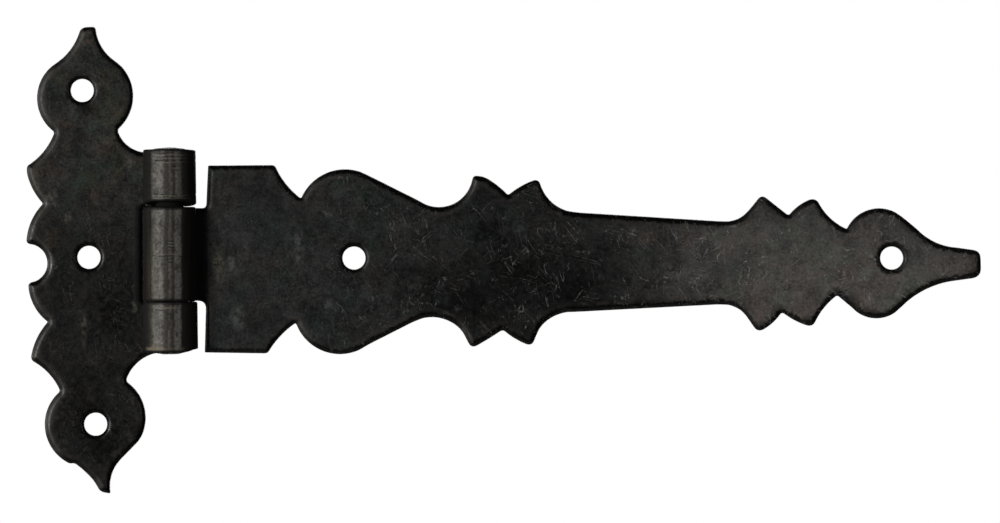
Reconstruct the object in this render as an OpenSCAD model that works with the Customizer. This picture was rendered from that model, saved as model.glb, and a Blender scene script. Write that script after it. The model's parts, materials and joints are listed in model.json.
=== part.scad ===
// Ornamental T hinge for a gate, door or shutter: a short jamb leaf and a long strap
// leaf, each cut from sheet steel and rolled round one pin that is peened at both ends.
//
// Frame: Z runs up along the pin, X runs out along the strap, and the knuckles stand
// proud towards -Y. The flat backs of both leaves lie in the plane y = 0, the pin's axis
// is at x = 0, and z = 0 is the height of the strap's two screw holes.

/* [Sheet] */
// Thickness of the sheet that both leaves are cut from
sheet_t = 2.5; // [2:0.1:3]
// Longest step along the curved parts of a leaf's outline
arc_step = 1.2; // [0.6:0.1:3]

/* [Knuckles] */
// Diameter of the hole that each knuckle is rolled round
bore_d = 6; // [5:0.1:6.5]
// How far round the pin each knuckle is rolled, in degrees
roll_sweep = 300; // [270:5:300]
// Height of the top of the upper jamb knuckle
jamb_top = 22.7; // [22:0.1:24]
// Height of the top of the strap's knuckle
strap_top = 10.7; // [9:0.1:11]
// Height of the bottom of the strap's knuckle
strap_bottom = -9.1; // [-9.4:0.1:-8]
// Gap between the strap's knuckle and the upper jamb knuckle
upper_gap = 0.7; // [0.2:0.1:1.2]
// Gap between the strap's knuckle and the lower jamb knuckle
lower_gap = 0.2; // [0.1:0.1:0.6]
// Height of the bottom of the lower jamb knuckle
jamb_bottom = -19.7; // [-20:0.1:-18]
// Distance from the pin's axis to the jamb leaf's edge beside the strap's knuckle
window_x = 5.6; // [5.6:0.1:7]

/* [Pin] */
// Radial clearance between the pin and the knuckles
pin_clearance = 0.05; // [0.02:0.01:0.1]
// Diameter of the heads that are peened over at the pin's ends
head_d = 7.4; // [6.8:0.1:9]
// Height of each peened head
head_h = 0.5; // [0.4:0.1:0.9]
// Height of the straight rim below each head's dome
head_rim = 0.2; // [0.1:0.05:0.3]

/* [Screw holes] */
// Diameter of every screw hole
hole_d = 4.8; // [4:0.1:5.5]
// Distance between neighbouring holes in the jamb leaf
jamb_hole_pitch = 35; // [34:0.1:36]
// Lean of the jamb leaf's row of holes away from the pin, in degrees
jamb_lean = 2.3; // [0:0.1:3]
// Distance from the pin's axis to the strap's first hole
strap_hole_x = 38.6; // [36:0.1:42]
// Distance from the strap's tip back to its second hole
tip_hole_back = 18.7; // [17:0.1:22]

/* [Strap] */
// Reach of the strap from the pin's axis to its tip
strap_reach = 170; // [150:5:220]

/* [Hidden] */
$fn = 96;

bore_r = bore_d / 2;
knuckle_r = bore_r + sheet_t;
pin_r = bore_r - pin_clearance;
upper_knuckle = [strap_top + upper_gap, jamb_top];
middle_knuckle = [strap_bottom, strap_top];
lower_knuckle = [jamb_bottom, strap_bottom - lower_gap];

jamb_hole_mid = [-16.95, 0.15];
jamb_holes = [for (step = [-1, 0, 1])
    jamb_hole_mid + step * jamb_hole_pitch * [-sin(jamb_lean), cos(jamb_lean)]];
strap_holes = [[strap_hole_x, 0], [strap_reach - tip_hole_back, 0]];

black_iron = [0.15, 0.15, 0.14];
worn_iron = [0.24, 0.23, 0.21];

// The outlines run clockwise as seen from the front. Each row is [x, z, bow, round]:
// a corner, how far the edge that leaves it bulges outwards (a minus sign hollows it),
// and how much of each neighbouring edge the rounding of the corner takes up.

jamb_outline = [
    // Upper finial, down its right side
    [-18.7, 48.4, 0, 1.3],
    [-15.6, 48.5, -1.1, 0.7],
    [-11, 41, 3.3, 1.2],
    [-11, 26.9, -1.1, 0.6],
    // Tabs that roll into the two knuckles, and the window between them
    [-5.5, 22.2, 0, 0.4],
    [0, jamb_top, 0, 0],
    [0, upper_knuckle[0], 0, 0],
    [-window_x, upper_knuckle[0], 0, 0],
    [-window_x, lower_knuckle[1], 0, 0],
    [0, lower_knuckle[1], 0, 0],
    [0, jamb_bottom, 0, 0],
    // Lower finial, down its right side and round its tip
    [-3.2, -20, -1.1, 0.4],
    [-9.2, -25.8, 2.5, 0.6],
    [-6.3, -38.1, 0, 1],
    [-10.6, -42.5, -0.8, 1],
    [-12.4, -49.4, 0, 0.5],
    [-14.6, -49, 0, 0.9],
    [-15.8, -46.9, -0.2, 0.6],
    [-20, -43, 0, 0.5],
    [-21, -43.1, 4.2, 0.3],
    // Scalloped left edge, going up
    [-23, -27.9, -0.8, 0.5],
    [-29.2, -21.4, 0.7, 0.9],
    [-25.6, -13.4, 1.1, 0.3],
    [-29.7, -5.1, -4.2, 0.8],
    [-30.1, 2.9, 0.9, 0.8],
    [-26.6, 11.4, 0.5, 0.4],
    [-30, 17.9, 0, 0.55],
    [-30, 19.3, -0.8, 0.6],
    // Upper finial, up its left side
    [-24.2, 26.4, 4, 0.5],
    [-23.5, 41.1, -0.8, 1.2],
];

strap_near_outline_top = [
    // Neck and square root
    [0, strap_top, 0, 0],
    [7.6, strap_top, 0, 0.9],
    [8, 19.4, 0, 0.3],
    [22, 19.5, -0.6, 0.7],
    // Broad lobe round the first screw hole
    [27.5, 12.5, 3.3, 0.4],
    [41.5, 17.4, 0, 1.5],
    [52.3, 12, -3.6, 1],
    // Double cusp
    [63.5, 17.3, 0, 0.8],
    [65.6, 17.2, 0.3, 1.2],
    [70.9, 13.2, 0.4, 0.5],
    [77.4, 16.7, -1.8, 1.4],
    [85, 9.6, 0, 1.5],
];

strap_far_outline = [
    // Double cusp at the end of the taper
    [115.5, 7.7, -0.5, 1.5],
    [120.5, 9.1, -0.1, 1],
    [124, 13.4, 0, 1.4],
    [129.7, 8.9, 0.6, 0.6],
    [135.5, 12.7, -0.9, 1.5],
    // Leaf-shaped tip round the second screw hole
    [141.9, 6.1, 2.8, 0.3],
    [153.2, 8.9, 0, 1.2],
    [156.5, 6.2, -0.9, 1],
    [165, 2.2, 0, 1],
    [169.9, 1.5, 0, 1.5],
    [170.1, -4, 0, 2],
    [164.2, -4.8, -1, 1],
    [153.3, -10.3, 2.3, 1.5],
    [143, -10.4, 0, 1],
    [139.9, -7.8, -0.6, 0.5],
    // Double cusp, back along the lower edge
    [134.8, -14.5, 0.4, 1.4],
    [128.3, -11.3, 0.5, 0.7],
    [123.2, -15.6, 0, 1.4],
    [120.6, -11.8, -0.6, 1],
    [115.5, -9.7, 0, 1.5],
];

strap_near_outline_bottom = [
    [85, -11.3, -1, 1.5],
    [77.6, -14.6, -0.1, 0.8],
    // Double cusp
    [76, -18.5, 0.4, 1.4],
    [69.8, -15, 0.1, 0.7],
    [63.2, -19, 0, 1.4],
    [61.4, -15.5, -1.7, 1],
    [51.6, -13.1, 0, 1.5],
    // Broad lobe, root and neck
    [41.5, -18.2, 4, 1.5],
    [26.4, -13.6, -0.5, 0.4],
    [20.5, -20, 0, 0.7],
    [7.3, -19.8, 0, 0.3],
    [7.6, strap_bottom, 0, 1.8],
    [0, strap_bottom, 0, 0],
];

// The rows above are drawn for this reach, and the strap's straight taper takes up any change
drawn_reach = 170;
function moved_out(rows, distance) = [for (row = rows) [row.x + distance, row.y, row[2], row[3]]];
strap_outline = concat(strap_near_outline_top, moved_out(strap_far_outline, strap_reach - drawn_reach),
    strap_near_outline_bottom);

// Point a fraction t along the arc from a to b that bulges by bow to the left of the way
function arc_point(a, b, bow, t) =
    let (way = (b - a) / norm(b - a), left = [-way.y, way.x])
    abs(bow) < 0.01 ? a + (b - a) * t :
    let (
        half_angle = 2 * atan(2 * bow / norm(b - a)),
        radius = norm(b - a) / (2 * sin(half_angle)),
        centre = (a + b) / 2 - left * radius * cos(half_angle),
        turn = half_angle * (1 - 2 * t)
    )
    centre + radius * (left * cos(turn) - way * sin(turn));

// Points along one edge, less what the rounded corners at its ends take up
function edge_points(a, b) =
    let (
        length = norm([b.x - a.x, b.y - a.y]),
        first = a[3] / length,
        last = 1 - b[3] / length,
        steps = abs(a[2]) < 0.01 ? 1 : ceil(length / arc_step)
    )
    [for (i = [a[3] > 0 ? 0 : 1 : steps])
        arc_point([a.x, a.y], [b.x, b.y], a[2], first + (last - first) * i / steps)];

// Points between the ends of two edges that round off the corner where they would meet
function corner_points(before, corner, after) =
    [for (t = [0.25, 0.5, 0.75])
        pow(1 - t, 2) * before + 2 * t * (1 - t) * corner + t * t * after];

function outline_points(rows) =
    let (
        count = len(rows),
        edges = [for (i = [0 : count - 1]) edge_points(rows[i], rows[(i + 1) % count])]
    )
    [for (i = [0 : count - 1])
        let (next = rows[(i + 1) % count], edge = edges[i])
        each next[3] == 0 ? edge :
            concat(edge, corner_points(edge[len(edge) - 1], [next.x, next.y], edges[(i + 1) % count][0]))];

// A flat plate with its back in the plane y = 0
module plate(rows) {
    rotate([90, 0, 0])
        linear_extrude(sheet_t)
            polygon(outline_points(rows));
}

module screw_hole(at) {
    rotate([90, 0, 0])
        translate([at.x, at.y, -1])
            cylinder(d = hole_d, h = sheet_t + 2);
}

// The sheet rolled round the pin over a span of heights, for a plate on the pin's +X side.
// The roll starts where the plate ends, behind the pin, and comes round the front to stop
// just clear of the plate.
module knuckle(span) {
    translate([0, -knuckle_r, span[0]])
        rotate([0, 0, 90])
            rotate_extrude(angle = roll_sweep)
                translate([bore_r, 0])
                    square([sheet_t, span[1] - span[0]]);
}

module jamb_leaf() {
    color(black_iron) {
        difference() {
            plate(jamb_outline);
            for (hole = jamb_holes)
                screw_hole(hole);
        }
        mirror([1, 0, 0]) {
            knuckle(upper_knuckle);
            knuckle(lower_knuckle);
        }
    }
}

module strap_leaf() {
    color(black_iron) {
        difference() {
            plate(strap_outline);
            for (hole = strap_holes)
                screw_hole(hole);
        }
        knuckle(middle_knuckle);
    }
}

// A low dome on a straight rim, standing on z = 0
module peened_head() {
    dome_h = head_h - head_rim;
    dome_r = (pow(head_d / 2, 2) + pow(dome_h, 2)) / (2 * dome_h);
    intersection() {
        cylinder(d = head_d, h = head_h);
        translate([0, 0, head_h - dome_r])
            sphere(dome_r);
    }
}

module hinge_pin() {
    color(worn_iron)
        translate([0, -knuckle_r, 0]) {
            translate([0, 0, jamb_bottom])
                cylinder(r = pin_r, h = jamb_top - jamb_bottom);
            translate([0, 0, jamb_top])
                peened_head();
            translate([0, 0, jamb_bottom])
                mirror([0, 0, 1])
                    peened_head();
        }
}

jamb_leaf();
strap_leaf();
hinge_pin();
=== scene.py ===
"""The looks of the ornamental T hinge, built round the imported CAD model.

Each leaf is one sheet: its outline is laid out flat, tabs included, meshed with rounded
edges, and then the tabs are rolled round the pin. Lengths are in millimetres until a mesh is
made, and in metres on the stage. In the flat layout u runs across the leaf, z runs up, and w
runs through the sheet from its front to its back.
"""

import json
import math

import bpy
import numpy as np
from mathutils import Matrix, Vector, noise
from mathutils.geometry import delaunay_2d_cdt


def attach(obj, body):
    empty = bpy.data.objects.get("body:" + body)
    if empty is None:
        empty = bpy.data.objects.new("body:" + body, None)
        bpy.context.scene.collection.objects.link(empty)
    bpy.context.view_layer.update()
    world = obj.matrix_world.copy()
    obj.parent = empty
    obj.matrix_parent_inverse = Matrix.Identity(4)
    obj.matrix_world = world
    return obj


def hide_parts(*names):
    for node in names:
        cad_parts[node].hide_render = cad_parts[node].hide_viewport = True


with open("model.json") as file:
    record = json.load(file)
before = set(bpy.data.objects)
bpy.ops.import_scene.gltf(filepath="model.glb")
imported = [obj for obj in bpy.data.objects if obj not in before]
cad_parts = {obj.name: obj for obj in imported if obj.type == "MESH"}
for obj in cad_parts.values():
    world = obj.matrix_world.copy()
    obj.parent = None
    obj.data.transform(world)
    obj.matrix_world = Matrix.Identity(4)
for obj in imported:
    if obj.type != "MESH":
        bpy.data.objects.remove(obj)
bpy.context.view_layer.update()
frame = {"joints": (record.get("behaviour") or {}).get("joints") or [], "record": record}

MM = 0.001


def in_mm(length):
    return round(length / MM, 6)


def hole_places(prefix):
    """The x and z of the record's screw holes whose names start like that."""
    mounts = [mount for mount in frame["record"]["mounts"] if mount["name"].startswith(prefix)]
    return [[in_mm(mount["pos_m"][0]), in_mm(mount["pos_m"][2])] for mount in mounts]


# The sheet and the pin, as in the CAD model
SHEET_T = 2.5
PIN_Y = in_mm(frame["joints"][0]["pos_m"][1])
PIN_R = 2.95
PIN_PLAY = 0.05
ROLL_MID_R = PIN_R + PIN_PLAY + SHEET_T / 2
ROLL_ANGLE = math.radians(300)
TAB_LENGTH = ROLL_MID_R * ROLL_ANGLE
HOLE_R = 2.4
JAMB_HOLES = hole_places("jamb_hole")
STRAP_HOLES = hole_places("strap_hole")

# Heights where the knuckles end, and the jamb's window, which the strap's knuckle fills
JAMB_TOP = 22.7
WINDOW_TOP = 10.72
STRAP_TOP = 10.7
STRAP_BOTTOM = -9.1
WINDOW_BOTTOM = -9.13
JAMB_BOTTOM = -19.7
WINDOW_X = 5.57

# How the cut edges are rounded: on the plates' front and back, on the inner and outer sides
# of the knuckles, and round the holes
FRONT_ROUND = 1.2
BACK_ROUND = 0.3
BORE_SIDE_ROUND = 0.25
KNUCKLE_ROUND = 0.35
HOLE_ROUND = 0.85

# How uneven the sheet is: its slow waves, the dents in its faces and its cut edges
WAVE = 0.085
RIPPLE = 0.03
DENTS = 0.014
WALL_ROUGHNESS = 0.03

# How uneven the jamb's knuckles are: how much wider they get for each millimetre down, how
# much of the bottom end is worn away on the right and how low it is on the left, how far the
# top end rises in the middle and drops on the right, and how far from an end this shows
WIDENING = 0.0125
END_WEAR = 0.75
END_LOW = 0.12
TOP_RISE = 0.16
TOP_DROP = 0.14
END_REACH = 3.0

# How uneven the pin's hammered heads are: across, as a share, and up and down
HEAD_SPREAD = 0.07
HEAD_LIFT = 0.14

# How finely the meshes are made. The rings lie at these parts of the rounding's radius.
OUTLINE_STEP = 0.27
CORNER_STEPS = 6
RINGS = [0.1, 0.3, 0.62, 1.0, 1.45]
RING_STEP = 0.14
OUTER_RING = 1.75
OUTER_RING_STEP = 0.6
GRID_STEP = 0.95
GRID_ROW_STEP = GRID_STEP * 0.87
TAB_STEP_U = 0.42
TAB_STEP_Z = 0.36
TAB_GRID_EDGE = 0.6
WALL_ROWS = 3
PIN_SIDES = 72
PIN_RINGS = 34

# How many points are measured against a loop at a time
CHUNK = 400

# The outlines run clockwise as seen from the front. Each row is [u, z, bow, round]: a corner,
# how far the edge that leaves it bulges outwards, and the rounding of the corner.
JAMB_OUTLINE = [
    # Upper finial, down its right side
    [-18.7, 48.4, 0, 1.3],
    [-15.6, 48.5, -1.1, 0.7],
    [-11, 41, 3.3, 1.2],
    [-11, 26.9, -1.1, 0.6],
    # Tabs of the two knuckles, and the window between them
    [-5.5, 22.2, 0, 0.4],
    [0, JAMB_TOP, 0, 0.3],
    [TAB_LENGTH, JAMB_TOP, 0, 0.4],
    [TAB_LENGTH, 10.95, 0, 0.4],
    [19.4, 11.2, 0, 0.8],
    [16.6, 11.8, 0, 0.8],
    [10.8, 11.9, 0, 0.8],
    [7.2, 11.3, 0, 0.8],
    [4, 10.85, 0, 0.8],
    [1, WINDOW_TOP, 0, 0.5],
    [-WINDOW_X, WINDOW_TOP, 0, 0.6],
    [-WINDOW_X, WINDOW_BOTTOM, 0, 0.6],
    [TAB_LENGTH, WINDOW_BOTTOM, 0, 0.4],
    [TAB_LENGTH, JAMB_BOTTOM, 0, 0.4],
    [0, JAMB_BOTTOM, 0, 0.3],
    # Lower finial, down its right side and round its tip
    [-3.2, -20, -1.1, 0.4],
    [-9.2, -25.8, 2.5, 0.6],
    [-6.3, -38.1, 0, 1],
    [-10.6, -42.5, -0.8, 1],
    [-12.4, -49.4, 0, 0.5],
    [-14.6, -49, 0, 0.9],
    [-15.8, -46.9, -0.2, 0.6],
    [-20, -43, 0, 0.5],
    [-21, -43.1, 4.2, 0.3],
    # Scalloped left edge, going up
    [-23, -27.9, -0.8, 0.5],
    [-29.2, -21.4, 0.7, 0.9],
    [-25.6, -13.4, 1.1, 0.3],
    [-29.7, -5.1, -4.2, 0.8],
    [-30.1, 2.9, 0.9, 0.8],
    [-26.6, 11.4, 0.5, 0.4],
    [-30, 17.9, 0, 0.55],
    [-30, 19.3, -0.8, 0.6],
    # Upper finial, up its left side
    [-24.2, 26.4, 4, 0.5],
    [-23.5, 41.1, -0.8, 1.2],
]

STRAP_OUTLINE = [
    # Tab of the knuckle, neck and square root
    [-TAB_LENGTH, STRAP_TOP, 0, 0.4],
    [-3, STRAP_TOP, 0, 0.6],
    [3, 10.5, 0, 0.6],
    [7.6, 10.45, 0, 0.9],
    [8, 19.4, 0, 0.3],
    [22, 19.5, -0.6, 0.7],
    # Broad lobe round the first screw hole
    [27.5, 12.5, 3.3, 0.4],
    [41.5, 17.4, 0, 1.5],
    [52.3, 12, -3.6, 1],
    # Double cusp
    [63.5, 17.3, 0, 0.8],
    [65.6, 17.2, 0.3, 1.2],
    [70.9, 13.2, 0.4, 0.5],
    [77.4, 16.7, -1.8, 1.4],
    [85, 9.6, 0, 1.5],
    # Double cusp at the end of the taper
    [115.5, 7.7, -0.5, 1.5],
    [120.5, 9.1, -0.1, 1],
    [124, 13.4, 0, 1.4],
    [129.7, 8.9, 0.6, 0.6],
    [135.5, 12.7, -0.9, 1.5],
    # Leaf-shaped tip round the second screw hole
    [141.9, 6.1, 2.8, 0.3],
    [153.2, 8.9, 0, 1.2],
    [156.5, 6.2, -0.9, 1],
    [165, 2.2, 0, 1],
    [169.9, 1.5, 0, 1.5],
    [170.1, -4, 0, 2],
    [164.2, -4.8, -1, 1],
    [153.3, -10.3, 2.3, 1.5],
    [143, -10.4, 0, 1],
    [139.9, -7.8, -0.6, 0.5],
    # Double cusps and taper, back along the lower edge
    [134.8, -14.5, 0.4, 1.4],
    [128.3, -11.3, 0.5, 0.7],
    [123.2, -15.6, 0, 1.4],
    [120.6, -11.8, -0.6, 1],
    [115.5, -9.7, 0, 1.5],
    [85, -11.3, -1, 1.5],
    [77.6, -14.6, -0.1, 0.8],
    [76, -18.5, 0.4, 1.4],
    [69.8, -15, 0.1, 0.7],
    [63.2, -19, 0, 1.4],
    [61.4, -15.5, -1.7, 1],
    [51.6, -13.1, 0, 1.5],
    # Broad lobe, root and neck
    [41.5, -18.2, 4, 1.5],
    [26.4, -13.6, -0.5, 0.4],
    [20.5, -20, 0, 0.7],
    [7.3, -19.8, 0, 0.3],
    [7.6, -8.95, 0, 1.8],
    [3, -8.95, 0, 0.6],
    [-2, STRAP_BOTTOM, 0, 0.6],
    [-TAB_LENGTH, STRAP_BOTTOM, 0, 0.4],
]

# The peened heads of the pin: radius and height above the knuckle's end, from the middle out
HEAD_PROFILE = [
    (0.5, 0.42), (1.3, 0.4), (2.2, 0.33), (2.9, 0.22), (3.3, 0.1), (3.45, 0.03), (3.4, 0.0),
]

# Grooves turned round the knuckles: height, depth and width
JAMB_GROOVES = [(21.9, 0.05, 0.16), (20.4, 0.06, 0.18), (13.3, 0.05, 0.15), (-9.7, 0.05, 0.2)]
STRAP_GROOVES = [(10.1, 0.04, 0.15), (0.4, 0.03, 0.15)]

# Colours of the plates' finish, and of the painted shade and painted highlight on their edges. The
# tints multiply what lies under them.
SCALE_DARK = (0.0105, 0.0110, 0.0107)
SCALE_PALE = (0.0178, 0.0175, 0.0170)
GREEN_TINT = (0.74, 1.10, 0.94)
BROWN_TINT = (1.42, 1.04, 0.84)
WARM_TIP_TINT = (1.12, 1.0, 0.95)
WARM_ROOT_TINT = (1.06, 1.0, 0.88)
DUST = (0.082, 0.084, 0.081)
STAIN = (0.0040, 0.0044, 0.0038)
PALE_RUB = (0.125, 0.125, 0.120)
BROWN_RUB = (0.105, 0.086, 0.073)
OLIVE_RUB = (0.135, 0.120, 0.075)
RIM_BROWN = (0.040, 0.034, 0.028)
# Painted highlight for the cut edges that face the light
RIM_LIT = (0.075, 0.068, 0.058)
CUSP_BROWN = (0.050, 0.042, 0.031)
# Painted shade for the cut edges that face away from the light
PAINTED_EDGE_SHADE = (0.0020, 0.0018, 0.0016)
# Painted shade for the neck beside the knuckles, where their shadow falls
PAINTED_NECK_SHADE = (0.001, 0.001, 0.001)
SCRATCH_GREY = (0.135, 0.132, 0.124)
SCRATCH_PALE = (0.32, 0.305, 0.285)

# Colours of the knuckles
STEEL_DULL = (0.105, 0.098, 0.086)
STEEL_PALE = (0.165, 0.154, 0.136)
# Painted shade for the bare metal's right-hand part, away from the light
STEEL_SHADED = (0.052, 0.045, 0.038)
STEEL_MIDDLE = (0.105, 0.096, 0.084)
STEEL_STRIPE = (0.150, 0.140, 0.127)
STEEL_BROWN = (0.042, 0.033, 0.027)
STEEL_BLACKENED = (0.034, 0.029, 0.024)
FRECKLE = (0.27, 0.24, 0.19)
YELLOW_STREAK = (0.22, 0.19, 0.125)
FLANK_BLACK = (0.005, 0.004, 0.003)
FLANK_BROWN = (0.012, 0.009, 0.005)
FLANK_OLIVE = (0.036, 0.031, 0.012)
MARK_DULL = (0.030, 0.026, 0.021)
MARK_BRIGHT = (0.20, 0.178, 0.145)
MARK_DARK = (0.012, 0.010, 0.008)
# Painted shade for the knuckles' cut ends
PAINTED_END_SHADE = (0.004, 0.0035, 0.003)
BRASSY = (0.20, 0.165, 0.112)

# Colours of the pin
PIN_DARK = (0.020, 0.016, 0.012)
PIN_PALE = (0.120, 0.105, 0.080)
PIN_BRASSY = (0.20, 0.155, 0.09)
# Painted shade for the pin's shaft inside the knuckles
PIN_PAINTED_SHADE = (0.003, 0.003, 0.003)

# What marks each leaf. Smudges: x, z, half width, half height and colour. Stains, which are
# darker and glossier: x, z, half width and half height. Fine lines across the knuckles:
# height, half width, first x and last x.
JAMB_LOOK = {
    "smudges": [
        (-17.4, 46, 2.6, 3.6, BROWN_RUB),
        (-28.3, 16.8, 2.0, 4.2, BROWN_RUB),
        (-25.2, 12.6, 2.2, 2.4, PALE_RUB),
        (-8.3, 20.2, 1.6, 2.2, PALE_RUB),
        (-11.4, 26.2, 0.9, 1.6, OLIVE_RUB),
        (-7.4, -10.2, 0.8, 1.8, PALE_RUB),
        (-17.9, -15, 0.8, 5.5, BROWN_RUB),
        (-21.5, 8.5, 1.0, 1.8, PALE_RUB),
    ],
    "stains": [
        (-12, -12, 6, 7), (-18, -30, 7, 5), (-14, -38, 6, 6), (-24, -2, 4, 5), (-17, 32, 4, 3),
    ],
    "dark_marks": [
        (21.9, 0.14, -3.6, 5), (21.1, 0.12, -2.5, 3), (20.4, 0.2, -4, 5), (19.2, 0.12, 0.8, 2.4),
        (18.5, 0.12, 1.2, 2.6), (13.3, 0.12, -3.6, 4.5), (12.7, 0.12, -3.6, 4.5),
        (-9.7, 0.13, -3.8, 3), (-11.9, 0.2, -0.1, 1), (-10.9, 0.12, -2.8, 0),
    ],
    "bright_marks": [
        (21.5, 0.14, -3.4, 5), (20.75, 0.12, -3.4, 5), (20, 0.12, -3.4, 5), (18.85, 0.12, 0.4, 2.6),
        (17.9, 0.1, 1.6, 2.7), (13.0, 0.12, -3.4, 5), (12.4, 0.2, -3.8, 5),
        (-9.4, 0.12, -3.6, 3), (-10.4, 0.2, -3.8, 2.4),
    ],
}
STRAP_LOOK = {
    "smudges": [
        (10.2, -1.5, 1.6, 4.5, OLIVE_RUB),
        (12.8, -1.2, 1.1, 2.4, PALE_RUB),
        (14.2, -12.5, 1.8, 3.6, PALE_RUB),
        (27, 2, 1.4, 5.5, PALE_RUB),
        (32.8, -9.6, 2.2, 1.6, PALE_RUB),
        (99, 4.5, 5, 2.5, BROWN_RUB),
        (108, -3, 7, 3, PALE_RUB),
        (120, 3.5, 5.5, 1.4, PALE_RUB),
        (147.5, 3.5, 2.4, 3.6, PALE_RUB),
        (157, -3, 5.5, 2.2, PALE_RUB),
        (168.5, -2.5, 1.6, 3.2, OLIVE_RUB),
    ],
    "stains": [
        (97, -10.8, 17, 2.8), (62, -9, 13, 6), (74, -3, 9, 8), (52, -5, 7, 6), (85, -7, 8, 5),
        (66, 6, 5, 4),
    ],
    "dark_marks": [
        (10.1, 0.13, -3.4, 2), (3.5, 0.14, -0.7, 1.3), (2.9, 0.14, -0.6, 1.4),
        (2.2, 0.14, -0.5, 1.5), (1.55, 0.14, -0.2, 1.7), (0.4, 0.16, -3.6, 3),
        (-0.2, 0.14, -0.6, 1.3), (-0.85, 0.14, -0.5, 1), (1.6, 0.12, -4.7, -3.8),
        (1.1, 0.12, -4.6, -3.7),
    ],
    "bright_marks": [
        (3.2, 0.12, -0.4, 1.5), (2.5, 0.12, -0.4, 1.5), (1.0, 0.2, 1.2, 2.2), (0.7, 0.12, -2, 2.4),
    ],
}

# How deep the finish's bumps are, in metres, and how strongly the pieces shine
IRON_BUMP = 0.00004
IRON_SPECULAR = 0.3
PIN_BUMP = 0.00008
PIN_SPECULAR = 0.2

# Straight scratches: the way they turn, in degrees, and how far they are drawn out
SCRATCH_WAYS = [(14, 0.09), (78, 0.11), (-38, 0.13), (47, 0.1)]

# The stage, in metres: each softbox's name, place, target, size and power in watts
SOFTBOXES = [
    ("key", (-0.60, -0.86, 0.04), (0.03, 0, 0), (0.3, 0.3), 5.3),
    ("side", (-0.85, -0.28, 0.03), (0.0, 0, 0), (0.5, 0.4), 0.8),
    ("rim", (-0.9, 0.22, 0.02), (0.0, 0, 0), (0.3, 0.3), 1.3),
    ("fill", (0.62, -0.85, 0.1), (0.08, 0, 0), (0.35, 0.35), 0.5),
    ("back", (0.07, 1.1, 0.15), (0.07, 0, 0), (1.0, 1.0), 6),
]
FLOOR_CORNERS = [(-0.9, -1.1), (1.1, -1.1), (1.1, 0.9), (-0.9, 0.9)]
FLOOR_Z = -1.2
FLOOR_COLOUR = (0.72, 0.72, 0.71, 1)
WALL_COLOUR = (0.024, 0.024, 0.024, 1)
VIEW_WIDTH = 0.20964
CAMERA_DISTANCE = 2.5
SENSOR_WIDTH = 36
LOOKS_AT = (0.0692, -0.00125, -0.00073)


# Outlines

def arc_point(a, b, bow, t):
    """Point a fraction t along the arc from a to b that bulges by bow to the left of the way."""
    if abs(bow) < 0.01:
        return a + (b - a) * t
    chord = np.linalg.norm(b - a)
    way = (b - a) / chord
    left = np.array([-way[1], way[0]])
    half_angle = 2 * math.atan(2 * bow / chord)
    radius = chord / (2 * math.sin(half_angle))
    centre = (a + b) / 2 - left * radius * math.cos(half_angle)
    turn = half_angle * (1 - 2 * t)
    return centre + radius * (left * math.cos(turn) - way * math.sin(turn))


def edge_points(row, after):
    """Points along one edge, less what the rounded corners at its ends take up."""
    a, b = np.array(row[:2], float), np.array(after[:2], float)
    length = np.linalg.norm(b - a)
    first, last = row[3] / length, 1 - after[3] / length
    steps = max(1, math.ceil(length * (last - first) / OUTLINE_STEP))
    return [arc_point(a, b, row[2], first + (last - first) * i / steps) for i in range(steps + 1)]


def outline_points(rows):
    """The whole outline, its corners rounded by parabolas."""
    edges = [edge_points(row, rows[(i + 1) % len(rows)]) for i, row in enumerate(rows)]
    points = []
    for i, edge in enumerate(edges):
        after = edges[(i + 1) % len(rows)][0]
        corner = np.array(rows[(i + 1) % len(rows)][:2], float)
        points += edge
        for t in np.arange(1, CORNER_STEPS) / CORNER_STEPS:
            points.append((1 - t) ** 2 * edge[-1] + 2 * t * (1 - t) * corner + t * t * after)
    return np.array(points)[::-1]


def cusps(rows, side):
    """The outline's pointed outward corners, away from the knuckles."""
    corners = np.array([row[:2] for row in rows], float)
    before = corners - np.roll(corners, 1, axis=0)
    after = np.roll(corners, -1, axis=0) - corners
    turn = np.arctan2(
        before[:, 1] * after[:, 0] - before[:, 0] * after[:, 1], (before * after).sum(1))
    return corners[(turn > math.radians(38)) & (side * corners[:, 0] > 20)]


def hole_points(centre):
    """A hole's edge, with the sheet to the left of its way."""
    count = round(2 * math.pi * HOLE_R / OUTLINE_STEP)
    angles = -np.arange(count) * 2 * math.pi / count
    return np.array(centre) + HOLE_R * np.column_stack([np.cos(angles), np.sin(angles)])


# Flat meshing

def inward_normals(loop):
    """Unit normals at a loop's points, to the left of its way, where the sheet is."""
    way = np.roll(loop, -1, axis=0) - np.roll(loop, 1, axis=0)
    way /= np.linalg.norm(way, axis=1)[:, None]
    return np.column_stack([-way[:, 1], way[:, 0]])


def edge_distance(points, loops):
    """Distance of each point to the nearest loop."""
    best = np.full(len(points), np.inf)
    for loop in loops:
        way = np.roll(loop, -1, axis=0) - loop
        length2 = (way ** 2).sum(1)
        for start in range(0, len(points), CHUNK):
            rel = points[start:start + CHUNK, None] - loop[None]
            t = np.clip((rel * way).sum(2) / length2, 0, 1)
            apart = np.sqrt(((rel - t[:, :, None] * way) ** 2).sum(2).min(1))
            best[start:start + CHUNK] = np.minimum(best[start:start + CHUNK], apart)
    return best


def edge_facing(points, gap, loops):
    """How squarely the nearest cut edge faces left, from 0 to 1, near the edges only."""
    rim = np.concatenate(loops)
    leftward = np.concatenate([inward_normals(loop)[:, 0] for loop in loops])
    result = np.zeros(len(points))
    near = np.flatnonzero(gap < 2)
    for start in range(0, len(near), CHUNK):
        part = near[start:start + CHUNK]
        closest = ((points[part, None] - rim[None]) ** 2).sum(2).argmin(1)
        result[part] = smooth(0.3, 0.9, leftward[closest])
    return result


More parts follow.
